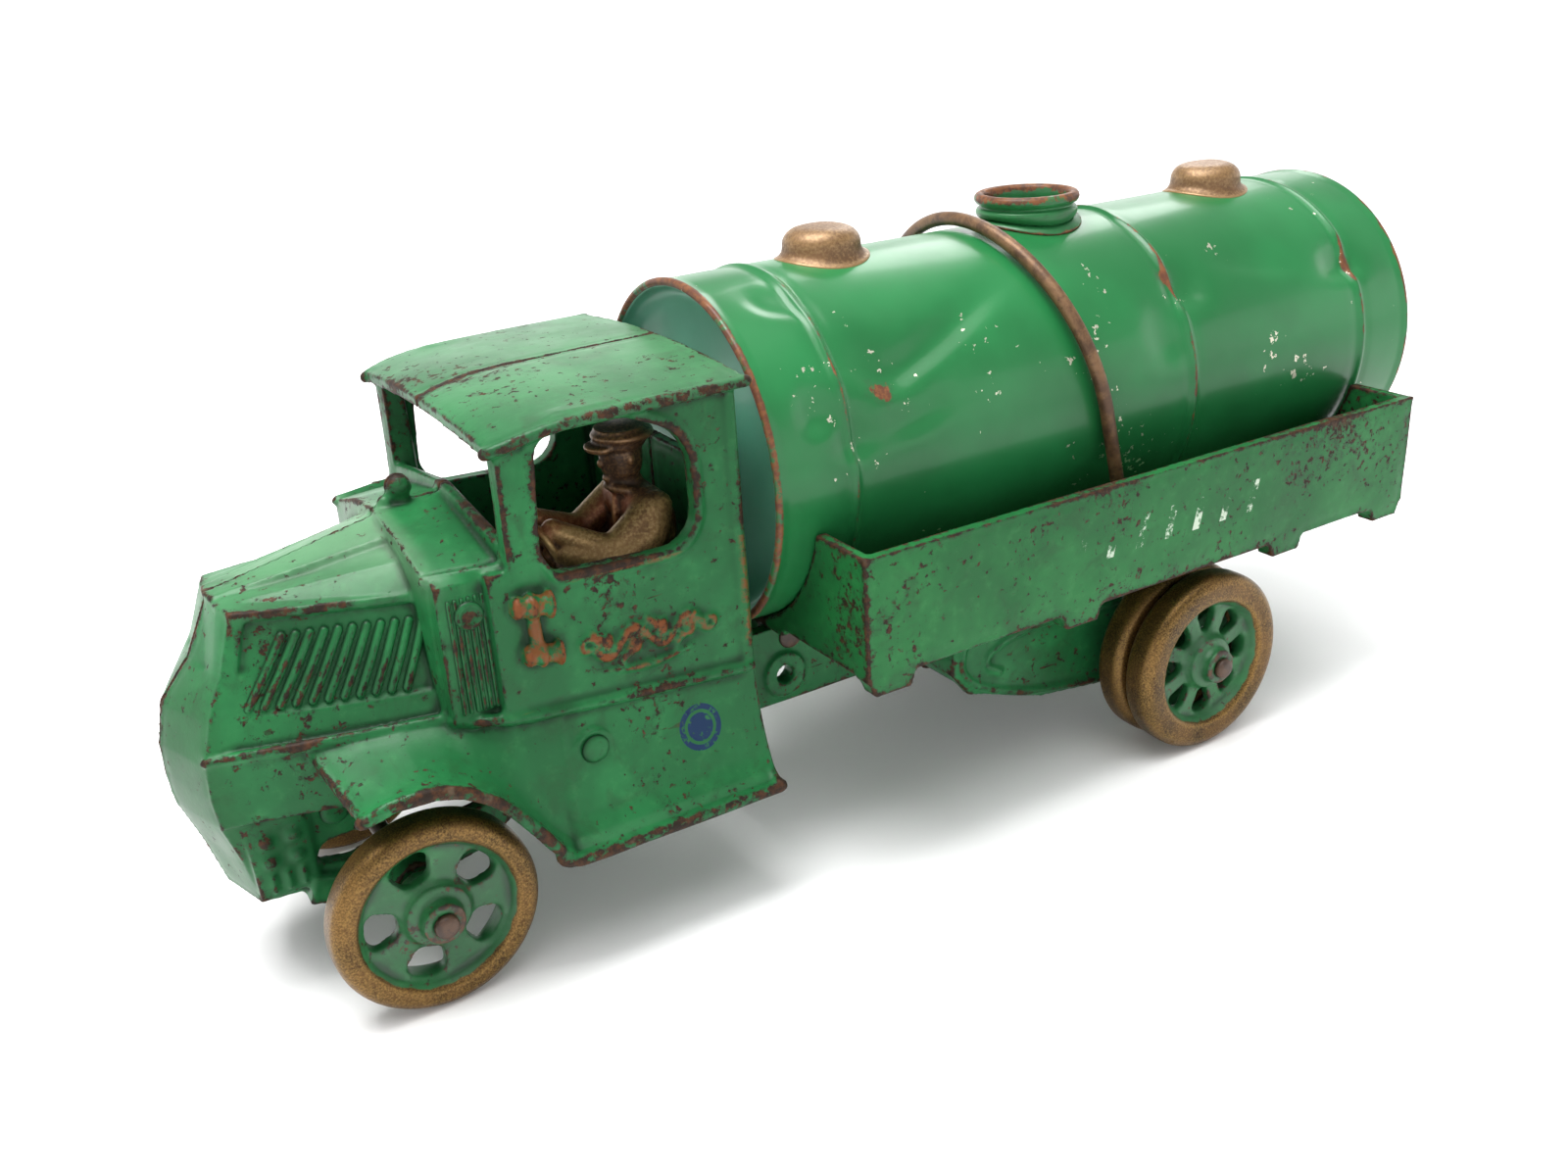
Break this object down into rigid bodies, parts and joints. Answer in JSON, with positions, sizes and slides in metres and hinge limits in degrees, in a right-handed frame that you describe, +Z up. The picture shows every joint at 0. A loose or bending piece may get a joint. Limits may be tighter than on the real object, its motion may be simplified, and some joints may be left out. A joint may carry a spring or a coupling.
{
  "type": "toy tank lorry",
  "caption": "Cast iron toy tank lorry with a rolled tin tank held in an open bed by a wire bail, a seated driver, free axles and spoked wheels.",
  "frame": {"origin": "middle of the bounding box, on the surface that the wheels stand on", "axes": "+X forward to the nose, +Y to the driver's side, +Z up"},
  "size_m": [0.3245, 0.1242, 0.1367],
  "materials": {
    "green_enamel_iron": "worn gloss enamel over rough cast iron",
    "green_enamel_tin": "worn gloss enamel over tinplate",
    "pale_green_tin": "faded green enamel",
    "gold_bronze_tin": "worn gold bronze paint",
    "gold_bronze_iron": "gold bronze paint on the tyres and green enamel on the spokes",
    "bronze_figure": "dark bronze paint",
    "rusty_steel": "browned wire and rod"
  },
  "bodies": {
    "truck": {"left_body_casting": "green_enamel_iron", "right_body_casting": "green_enamel_iron", "bed_casting": "green_enamel_iron", "driver_figure": "bronze_figure", "tank_shell": "green_enamel_tin", "tank_front_head": "pale_green_tin", "tank_rear_head": "pale_green_tin", "filler_neck": "green_enamel_tin", "front_dome": "gold_bronze_tin", "rear_dome": "gold_bronze_tin", "retaining_wire": "rusty_steel", "body_rivets": "rusty_steel", "bed_rivets": "rusty_steel"},
    "front_axle": {"front_axle": "rusty_steel"},
    "rear_axle": {"rear_axle": "rusty_steel"},
    "left_front_wheel": {"left_front_wheel": "gold_bronze_iron"},
    "right_front_wheel": {"right_front_wheel": "gold_bronze_iron"},
    "left_rear_outer_wheel": {"left_rear_outer_wheel": "gold_bronze_iron"},
    "left_rear_inner_wheel": {"left_rear_inner_wheel": "gold_bronze_iron"},
    "right_rear_inner_wheel": {"right_rear_inner_wheel": "gold_bronze_iron"},
    "right_rear_outer_wheel": {"right_rear_outer_wheel": "gold_bronze_iron"}
  },
  "joints": [
    {"name": "front_axle_spin", "type": "hinge", "parent": "truck", "child": "front_axle", "pos_m": [0.1229, 0, 0.0216], "axis": [0, 1, 0], "continuous": true},
    {"name": "rear_axle_spin", "type": "hinge", "parent": "truck", "child": "rear_axle", "pos_m": [-0.0745, 0, 0.0236], "axis": [0, 1, 0], "continuous": true},
    {"name": "left_front_wheel_spin", "type": "hinge", "parent": "front_axle", "child": "left_front_wheel", "pos_m": [0.1229, 0.0357, 0.0216], "axis": [0, 1, 0], "continuous": true},
    {"name": "right_front_wheel_spin", "type": "hinge", "parent": "front_axle", "child": "right_front_wheel", "pos_m": [0.1229, -0.0357, 0.0216], "axis": [0, 1, 0], "continuous": true},
    {"name": "left_rear_outer_spin", "type": "hinge", "parent": "rear_axle", "child": "left_rear_outer_wheel", "pos_m": [-0.0745, 0.0537, 0.0236], "axis": [0, 1, 0], "continuous": true},
    {"name": "left_rear_inner_spin", "type": "hinge", "parent": "rear_axle", "child": "left_rear_inner_wheel", "pos_m": [-0.0745, 0.0441, 0.0236], "axis": [0, 1, 0], "continuous": true},
    {"name": "right_rear_inner_spin", "type": "hinge", "parent": "rear_axle", "child": "right_rear_inner_wheel", "pos_m": [-0.0745, -0.0441, 0.0236], "axis": [0, 1, 0], "continuous": true},
    {"name": "right_rear_outer_spin", "type": "hinge", "parent": "rear_axle", "child": "right_rear_outer_wheel", "pos_m": [-0.0745, -0.0537, 0.0236], "axis": [0, 1, 0], "continuous": true}
  ]
}
